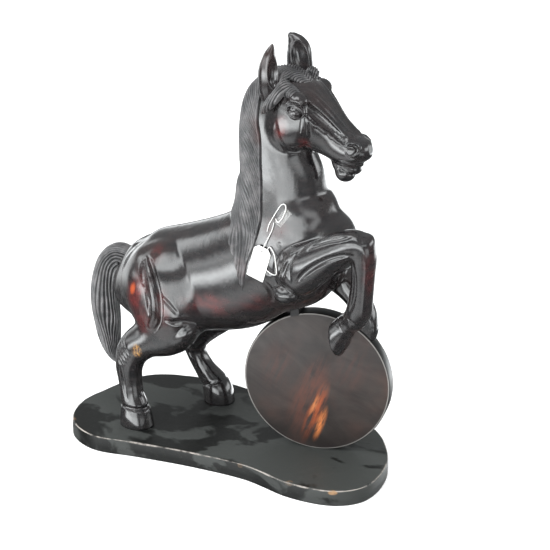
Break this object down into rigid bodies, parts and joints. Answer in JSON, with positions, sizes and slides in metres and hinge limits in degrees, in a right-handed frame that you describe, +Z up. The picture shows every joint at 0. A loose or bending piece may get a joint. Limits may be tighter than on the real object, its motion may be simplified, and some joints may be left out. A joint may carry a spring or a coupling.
{
  "type": "carved wooden horse statue",
  "caption": "Carved dark hardwood horse rearing over an upright disc on a shaped plank base, with a strung paper ticket on its neck.",
  "frame": {"origin": "middle of the base's underside", "axes": "+X to the front of the horse, +Y to its left side, +Z up"},
  "size_m": [0.5, 0.25, 0.6414],
  "materials": {
    "horse_wood": "near-black gloss lacquer over red-brown hardwood, rubbed through in places",
    "hair_wood": "near-black satin lacquer in carved grooves",
    "disc_wood": "satin grey-brown lacquer with reddish patches and an orange streak",
    "base_wood": "worn satin black lacquer",
    "dowel_wood": "bare hardwood dowel",
    "steel": "plain zinc plated",
    "tape": "clear adhesive tape",
    "string": "thin white cotton string",
    "card": "matt white card"
  },
  "bodies": {
    "statue": {"base_board": "base_wood", "disc": "disc_wood", "disc_screws": "steel", "hind_leg_screws": "steel", "torso": "horse_wood", "neck": "horse_wood", "head": "horse_wood", "right_ear": "horse_wood", "left_ear": "horse_wood", "forelock": "hair_wood", "mane": "hair_wood", "tail": "hair_wood", "right_foreleg": "horse_wood", "left_foreleg": "horse_wood", "right_hind_leg": "horse_wood", "left_hind_leg": "horse_wood", "chest_peg": "horse_wood", "neck_dowels": "dowel_wood", "head_dowel": "dowel_wood", "ear_dowels": "dowel_wood", "tail_dowel": "dowel_wood", "foreleg_dowels": "dowel_wood", "hind_leg_dowels": "dowel_wood", "hoof_pin": "dowel_wood", "tape_patch": "tape", "string_end": "string"},
    "ticket": {"tag_string": "string", "tag_card": "card"}
  },
  "joints": [
    {"name": "tag_lift", "type": "hinge", "parent": "statue", "child": "ticket", "pos_m": [0.0931, -0.0541, 0.3895], "axis": [-0.995, -0.0995, 0], "range_deg": [0, 60]}
  ]
}
